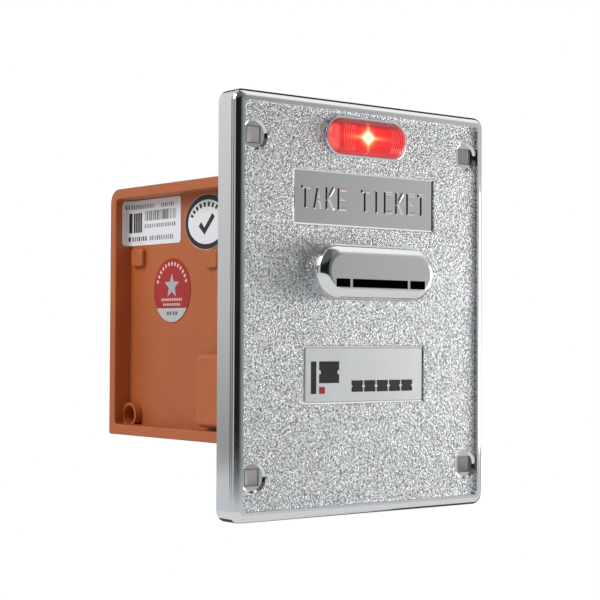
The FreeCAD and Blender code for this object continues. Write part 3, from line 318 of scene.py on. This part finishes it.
chrome = chrome_plate()
lens_red = lit_lens()
orange = speckled("orange_moulding", (0.44, 0.116, 0.033), 0.40, grain=1400.0, depth=0.00005, vary=0.06,
                  Specular_IOR_Level=0.45)
black = speckled("black_moulding", (0.022, 0.022, 0.024), 0.46)
white = speckled("white_moulding", (0.80, 0.79, 0.75), 0.42)
acetal = speckled("acetal", (0.78, 0.76, 0.68), 0.38, grain=700.0)
red_cap = speckled("red_moulding", (0.50, 0.02, 0.02), 0.32)
rubber = speckled("roller_rubber", (0.025, 0.025, 0.026), 0.75, grain=500.0, depth=0.00015)
wire_red = speckled("wire_insulation", (0.40, 0.02, 0.02), 0.5)
board_green = speckled("solder_mask", (0.02, 0.16, 0.06), 0.30, grain=400.0, depth=0.00008, vary=0.2)
zinc = brushed("zinc_sheet", (0.60, 0.60, 0.57), 0.34)
steel = brushed("bright_steel", (0.64, 0.64, 0.63), 0.24)
brass = brushed("turned_brass", (0.72, 0.50, 0.20), 0.26)
silver_film = speckled("silver_film", (0.85, 0.86, 0.87), 0.45, grain=2000.0, depth=0.00002, vary=0.02,
                       Metallic=0.55)
white_film = speckled("white_film", (0.78, 0.79, 0.82), 0.38, grain=1200.0, depth=0.00004, vary=0.03)
red_film = speckled("red_film", (0.36, 0.014, 0.012), 0.36, grain=1200.0, depth=0.00004, vary=0.12)
grey_ink = speckled("grey_ink", (0.40, 0.40, 0.42), 0.45)
black_ink = speckled("black_ink", (0.012, 0.012, 0.014), 0.42)
red_ink = speckled("red_ink", (0.60, 0.02, 0.03), 0.42)
pale_grey = speckled("pale_grey_ink", (0.50, 0.49, 0.50), 0.42)
pale_ink = speckled("pale_ink", (0.70, 0.52, 0.44), 0.45)

paint(chrome, "faceplate", "outlet_bezel")
paint(lens_red, "lamp_lens")
paint(orange, "housing", "side_cover")
paint(black, "throat_lower", "throat_upper", "lower_guide", "upper_guide", "sensor_emitter", "sensor_receiver",
      "motor_end_cap", "board_chips", "board_capacitors", "button_switch")
paint(white, "lamp_holder", "harness_socket")
paint(acetal, "compound_gear", "output_gear", "roller_hub", "pinch_roller")
paint(red_cap, "feed_button")
paint(rubber, "drive_roller")
paint(wire_red, "lamp_leads")
paint(board_green, "lamp_board", "control_board")
paint(zinc, "mount_bracket", "chassis_plate", "spring_strap", "pinch_arm", "motor_can")
paint(steel, "motor_shaft", "gear_axle", "gear_clip", "drive_shaft", "shaft_clips", "pinch_axle", "pivot_pin",
      "pinch_spring", "throat_screws", "bracket_screws", "ear_screws", "case_screws", "chassis_screws",
      "motor_screws", "strap_screws", "board_screws", "guide_screws")
paint(brass, "motor_pinion", "motor_terminals", "harness_pins", "shaft_bushes")
paint(silver_film, "name_label")
paint(white_film, "serial_label", "inspection_label")
paint(red_film, "seal_label", "lamp_led")


# ---------------------------------------------------------------- printed shapes
# u and v are mm across and up a printed face
def rect(u0, v0, u1, v1):
    return [(u0, v0), (u1, v0), (u1, v1), (u0, v1)]


def segment(r, a0, a1, n=40):
    """The piece that a straight cut takes off a disc, between two angles."""
    return [(r * math.cos(a0 + (a1 - a0) * k / (n - 1)), r * math.sin(a0 + (a1 - a0) * k / (n - 1)))
            for k in range(n)]


def arc_band(ru, rv, width, a0, a1, n):
    """Quads of a band along an ellipse."""
    out = []
    for k in range(n):
        p, q = a0 + (a1 - a0) * k / n, a0 + (a1 - a0) * (k + 1) / n
        out.append([((ru + d) * math.cos(a), (rv + d) * math.sin(a))
                    for a, d in ((p, 0), (q, 0), (q, -width), (p, -width))])
    return out


def star(v, r, points=5, inner=0.42):
    """Points up, its middle at height v; inner is the share of r where the arms meet."""
    corners = []
    for k in range(2 * points):
        reach, turn = (r if k % 2 == 0 else r * inner), math.pi * k / points
        corners.append((reach * math.sin(turn), v + reach * math.cos(turn)))
    return corners


def ticket(u0, v0, u1, v1, notch):
    """Ticket outline with a half-round notch in each short side."""
    vc = (v0 + v1) / 2
    turns = [math.pi * k / 10 for k in range(11)]
    left = [(u0 + notch * math.sin(a), vc + notch * math.cos(a)) for a in turns]
    right = [(u1 - notch * math.sin(a), vc - notch * math.cos(a)) for a in turns]
    return [(u0, v1)] + left + [(u0, v0), (u1, v0)] + right + [(u1, v1)]


def decal(name, loops, place, material, thick=0.035):
    """Thin printed shapes. place turns (u, v, height) in mm into a point in mm."""
    bm = bmesh.new()
    for loop in loops:
        low = [bm.verts.new([c * MM for c in place(u, v, 0.0)]) for u, v in loop]
        high = [bm.verts.new([c * MM for c in place(u, v, thick)]) for u, v in loop]
        bm.faces.new(high)
        for i in range(len(loop)):
            j = (i + 1) % len(loop)
            bm.faces.new((low[i], low[j], high[j], high[i]))
    bmesh.ops.recalc_face_normals(bm, faces=bm.faces)
    mesh = bpy.data.meshes.new(name)
    bm.to_mesh(mesh)
    bm.free()
    obj = bpy.data.objects.new(name, mesh)
    bpy.context.scene.collection.objects.link(obj)
    obj.data.materials.append(material.m)
    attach(obj, "frame")


def on_front(lo):
    """On the front of a box, from its lower left corner."""
    return lambda u, v, h: (lo[0] + u, lo[1] - h, lo[2] + v)


def on_left(lo, hi):
    """On the left of a box, from its middle; u runs to the right as seen there, towards the unit's front."""
    y_mid, z_mid = (lo[1] + hi[1]) / 2, (lo[2] + hi[2]) / 2
    return lambda u, v, h: (lo[0] - h, y_mid - u, z_mid + v)


def bars(u0, v0, height, pattern, unit):
    """A row of upright bars; pattern gives bar and gap widths in turn."""
    out, u = [], u0
    for k, w in enumerate(pattern):
        if k % 2 == 0:
            out.append(rect(u, v0, u + w * unit, v0 + height))
        u += w * unit
    return out


def nameplate_print():
    """A slot with a ticket coming out of it, a red mark and a strip of tickets."""
    at = on_front(label_lo)
    decal("nameplate_slot", [rect(2.6, 3.0, 5.2, 15.2)], at, black_ink)
    decal("nameplate_ticket", [ticket(6.6, 7.0, 16.4, 15.2, 0.9)], at, black_ink)
    decal("nameplate_mark", [rect(6.6, 3.0, 9.4, 5.6)], at, red_ink)
    strip = [ticket(22.6 + 6.4 * k, 3.5, 28.4 + 6.4 * k, 7.9, 0.5) for k in range(5)]
    decal("nameplate_strip", strip, at, black_ink)


def round_the_bend():
    """Place function of the serial sticker: u starts at its end on the wall and runs towards the front."""
    film, r = 0.25, 1.95        # the sticker's thickness and its radius at the bend
    face, wall = serial_hi[0] - film, serial_hi[1] - film
    straight = face - r - serial_lo[0]
    bend = r * math.pi / 2

    def place(u, v, h):
        z = serial_lo[2] + v
        if u < straight:
            return serial_lo[0] + u, wall - h, z
        if u < straight + bend:
            turn = (u - straight) / r
            return face - r + (r - h) * math.sin(turn), wall - r + (r - h) * math.cos(turn), z
        return face - h, wall - r - (u - straight - bend), z
    return place


def dashes(rng, v, h, u0, u1, lo, hi, gap=0.9):
    """A row of short blocks in place of a line of print; lo and hi are the shortest and the longest block."""
    out, u = [], u0
    while u < u1:
        w = rng.uniform(lo, hi)
        out.append(rect(u, v, min(u + w, u1), v + h))
        u += w + gap
    return out


def serial_print():
    """Generic mark, block rows and a bar pattern that says nothing."""
    at = round_the_bend()
    rng = random.Random(11)
    mark = [rect(u, 5.6, u + w, 14.0) for u, w in ((3.2, 1.5), (5.6, 1.3), (7.3, 1.3), (9.0, 1.3), (10.7, 1.3))]
    decal("serial_mark", mark, at, black_ink)
    bar_widths, gap_widths = (1, 1, 2), (1, 2, 3)
    pattern = [rng.choice(gap_widths if k % 2 else bar_widths) for k in range(54)]
    decal("serial_bars", bars(14.3, 10.4, height=4.2, pattern=pattern, unit=0.262), at, black_ink)
    rows = []       # foot and height of a line of print, its two ends, its shortest and longest block
    for v, h, u0, u1, lo, hi in ((15.7, 1.8, 1.4, 21.9, 0.35, 0.7), (15.7, 1.6, 27.0, 36.6, 0.35, 0.7),
                                 (7.3, 1.6, 14.3, 38.2, 0.35, 0.7),
                                 (1.9, 1.9, 3.0, 16.0, 0.5, 1.0), (1.9, 1.9, 18.2, 35.6, 0.35, 0.7)):
        rows += dashes(rng, v, h, u0, u1, lo, hi)
    decal("serial_rows", rows, at, black_ink)


def inspection_print():
    """An oval ring with a tick in it and a bow of short dashes."""
    at = on_left(oval_lo, oval_hi)
    ry, rz = (oval_hi[1] - oval_lo[1]) / 2, (oval_hi[2] - oval_lo[2]) / 2
    decal("inspection_ring", arc_band(ry - 0.15, rz - 0.15, 2.1, 0, 2 * math.pi, 72), at, black_ink)
    tick = [(-5.6, -1.6), (-3.9, 0.1), (-1.6, -2.3), (3.9, 3.4), (5.6, 1.8), (-1.5, -5.2)]
    decal("inspection_tick", [tick], at, black_ink)
    dots = [arc_band(ry - 3.2, rz - 3.2, 1.9, a - 0.07, a + 0.07, 3)
            for a in [math.pi * (0.13 + 0.74 * k / 9) for k in range(10)]]
    decal("inspection_dashes", [q for band in dots for q in band], at, black_ink)


def seal_print():
    """A round seal: a pale segment at its foot, a star, a bow of dashes and rows of blocks."""
    at = on_left(seal_lo, seal_hi)
    r = (seal_hi[1] - seal_lo[1]) / 2
    decal("seal_segment", [segment(r - 0.2, math.radians(-146), math.radians(-34))], at, pale_grey)
    dots = [arc_band(r - 1.6, r - 1.6, 1.5, a - 0.05, a + 0.05, 2)
            for a in [math.radians(20 + 140 * k / 12) for k in range(13)]]
    decal("seal_dashes", [q for band in dots for q in band], at, pale_ink)
    decal("seal_star", [star(1.8, 5.5)], at, grey_ink)
    lines = [rect(-7.6 + 1.3 * k, -4.4, -6.8 + 1.3 * k, -3.3) for k in range(12)]
    lines += [rect(-6.3 + 1.3 * k, -6.4, -5.5 + 1.3 * k, -5.4) for k in range(10)]
    decal("seal_rows", lines, at, pale_ink)
    foot = [rect(u + 1.25 * k, -10.3, u + 0.7 + 1.25 * k, -8.8) for u in (-3.6, 0.9) for k in range(3)]
    decal("seal_foot", foot, at, black_ink, thick=0.05)


def pressed_spring():
    """The pinch spring again, as a piece of its own on the frame with its own mesh; the CAD spring is hidden."""
    coil = bpy.data.objects.new("spring_coil", nodes["pinch_spring"].data.copy())
    bpy.context.scene.collection.objects.link(coil)
    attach(coil, "frame")
    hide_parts("pinch_spring")
    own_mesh(coil)


nameplate_print()
serial_print()
inspection_print()
seal_print()
pressed_spring()


# ---------------------------------------------------------------- floor, light, camera; metres from here on
FLOOR_RADIUS, FLOOR_PLACE = 0.18, (0, 0.03, -0.26)
CAMERA_PLACE = (-0.39841, -0.46772, -0.012805)
CAMERA_YAW, CAMERA_PITCH, CAMERA_ROLL = 38.626, 1.487, 0.283       # degrees
CAMERA_LENS, CAMERA_SENSOR = 94.45, 36.0                           # mm


def area(name, at, target, size, power):
    """A square lamp at one point, turned towards another."""
    data = bpy.data.lights.new(name, "AREA")
    data.shape = "RECTANGLE"
    data.size, data.size_y = size, size
    data.energy = power
    obj = bpy.data.objects.new(name, data)
    bpy.context.scene.collection.objects.link(obj)
    obj.location = at
    obj.rotation_euler = (Vector(target) - Vector(at)).to_track_quat("-Z", "Y").to_euler()


def backdrop():
    """Pale round table some way below the unit."""
    bm = bmesh.new()
    bmesh.ops.create_circle(bm, cap_ends=True, radius=FLOOR_RADIUS, segments=96)
    mesh = bpy.data.meshes.new("floor")
    bm.to_mesh(mesh)
    bm.free()
    obj = bpy.data.objects.new("floor", mesh)
    bpy.context.scene.collection.objects.link(obj)
    obj.location = FLOOR_PLACE
    m = Mat("pale_floor", (0.9, 0.9, 0.9), roughness=0.9)
    m.to("Base Color", m.ramp(m.noise(2.0), [(0.3, (0.83, 0.83, 0.83)), (0.7, (0.87, 0.87, 0.87))]))
    m.set("Emission Color", (1, 1, 1, 1))
    m.set("Emission Strength", 0.05)
    obj.data.materials.append(m.m)


# The world is a map of what the chrome mirrors. Bearings are in degrees: 0 is straight in front of the plate
# and 90 is towards +x. Heights run from 0, straight down, over 0.5, level, to 1, straight up.
# The surroundings, grey or colour by bearing:
AROUND = [(-180, 0.72), (-138, 0.72), (-133, 0.14), (-126, 0.14), (-121, 0.55), (-104, 0.50), (-99, 0.10),
          (-90, 0.08), (-85, 0.50), (-72, 0.52), (-66, 0.012), (6, 0.012), (13, (0.10, 0.125, 0.115)),
          (33, (0.165, 0.20, 0.185)), (36, (0.23, 0.26, 0.25)), (38, 0.36), (42, 0.45), (46, 0.53), (62, 0.62),
          (88, 0.70), (94, 0.04), (160, 0.04), (168, 0.60)]
# how bright they are behind the plate, by height, and how far back that begins, from 0, sideways, to 1:
REAR_SHADE = [(0.0, 0.86), (0.457, 0.86), (0.462, 0.42), (0.476, 0.50), (0.51, 0.73), (0.58, 1.0), (1.0, 1.0)]
REAR_FROM = 0.15
# A white card above the front, how much of it shows by height and by bearing:
OVERHEAD = [(0.0, 0.0), (0.67, 0.0), (0.76, 1.0), (1.0, 1.0)]
CARD_SPAN = [(-180, 1.0), (-100, 1.0), (-90, 0.1), (30, 0.1), (36, 0.3), (41, 0.95), (180, 1.0)]
# Under all this lies a band of haze and under that the ground, each 1 where it takes over:
LOW = [(0.0, 1.0), (0.4515, 1.0), (0.4545, 0.0), (1.0, 0.0)]
BELOW = [(0.0, 1.0), (0.40, 1.0), (0.43, 0.0), (1.0, 0.0)]
HAZE = (0.57, 0.60, 0.63)
GROUND = (0.70, 0.70, 0.70)
DARK_GROUND = (0.06, 0.06, 0.06)        # behind the plate, on its +x side


def studio_world():
    """Wraps that map round the scene; the camera itself sees plain white."""
    w = bpy.data.worlds.new("studio")
    bpy.context.scene.world = w
    w.use_nodes = True
    nt = w.node_tree
    new, link = nt.nodes.new, nt.links.new

    def put(value, socket):
        if isinstance(value, (int, float)):
            socket.default_value = value
        elif isinstance(value, tuple):
            socket.default_value = (*value, 1)
        else:
            link(value, socket)

    def op(kind, a, b=0.0):
        n = new("ShaderNodeMath")
        n.operation = kind
        put(a, n.inputs[0])
        put(b, n.inputs[1])
        return n.outputs[0]

    def ramp(value, stops):
        n = new("ShaderNodeValToRGB")
        spread(n.color_ramp, stops)
        link(value, n.inputs[0])
        return n.outputs[0]

    def mix(fac, a, b):
        n = new("ShaderNodeMix")
        n.data_type = "RGBA"
        for i, v in ((0, fac), (6, a), (7, b)):
            put(v, n.inputs[i])
        return n.outputs[2]

    def times(a, b):
        n = new("ShaderNodeVectorMath")
        n.operation = "MULTIPLY"
        link(a, n.inputs[0])
        link(b, n.inputs[1])
        return n.outputs[0]

    def by_bearing(stops):
        return ramp(turn, [(degrees / 360 + 0.5, v) for degrees, v in stops])

    xyz = new("ShaderNodeSeparateXYZ")
    link(new("ShaderNodeTexCoord").outputs["Generated"], xyz.inputs[0])
    x, y, z = xyz.outputs
    bearing = op("ARCTAN2", x, op("MULTIPLY", y, -1.0))
    turn = op("ADD", op("DIVIDE", bearing, 2 * math.pi), 0.5)
    height = op("ADD", op("MULTIPLY", z, 0.5), 0.5)

    around = by_bearing(AROUND)
    around = mix(op("GREATER_THAN", y, REAR_FROM), around, times(around, ramp(height, REAR_SHADE)))
    card = op("MULTIPLY", op("LESS_THAN", y, 0.0), by_bearing(CARD_SPAN))
    above = mix(op("MULTIPLY", ramp(height, OVERHEAD), card), around, (1.0, 1.0, 1.0))
    behind = op("MULTIPLY", op("GREATER_THAN", x, 0.0), op("GREATER_THAN", y, 0.0))
    ground = mix(behind, GROUND, DARK_GROUND)
    mirrored = mix(ramp(height, LOW), above, mix(ramp(height, BELOW), HAZE, ground))
    background = nt.nodes["Background"].inputs
    link(mix(new("ShaderNodeLightPath").outputs["Is Camera Ray"], mirrored, (1.0, 1.0, 1.0)), background["Color"])
    background["Strength"].default_value = 1.0


def camera():
    data = bpy.data.cameras.new("camera")
    data.sensor_width, data.lens = CAMERA_SENSOR, CAMERA_LENS
    data.clip_start, data.clip_end = 0.01, 50.0
    obj = bpy.data.objects.new("camera", data)
    bpy.context.scene.collection.objects.link(obj)
    yaw, pitch, roll = (math.radians(a) for a in (CAMERA_YAW, CAMERA_PITCH, CAMERA_ROLL))
    ahead = Vector((math.sin(yaw) * math.cos(pitch), math.cos(yaw) * math.cos(pitch), math.sin(pitch)))
    right = Vector((math.cos(yaw), -math.sin(yaw), 0))
    up = right.cross(ahead)
    rolled_right = right * math.cos(roll) + up * math.sin(roll)
    rolled_up = up * math.cos(roll) - right * math.sin(roll)
    placed = Matrix((rolled_right, rolled_up, -ahead)).transposed().to_4x4()
    placed.translation = CAMERA_PLACE
    obj.matrix_world = placed
    bpy.context.scene.camera = obj


backdrop()
studio_world()
camera()
area("key", at=(-0.9, 0.12, 0.7), target=(-0.03, 0.05, 0), size=0.6, power=8.2)
area("fill", at=(0.40, -0.15, 0.0), target=(0.07, 0, 0.0), size=0.16, power=0.48)
bpy.context.scene.view_settings.view_transform = "Standard"
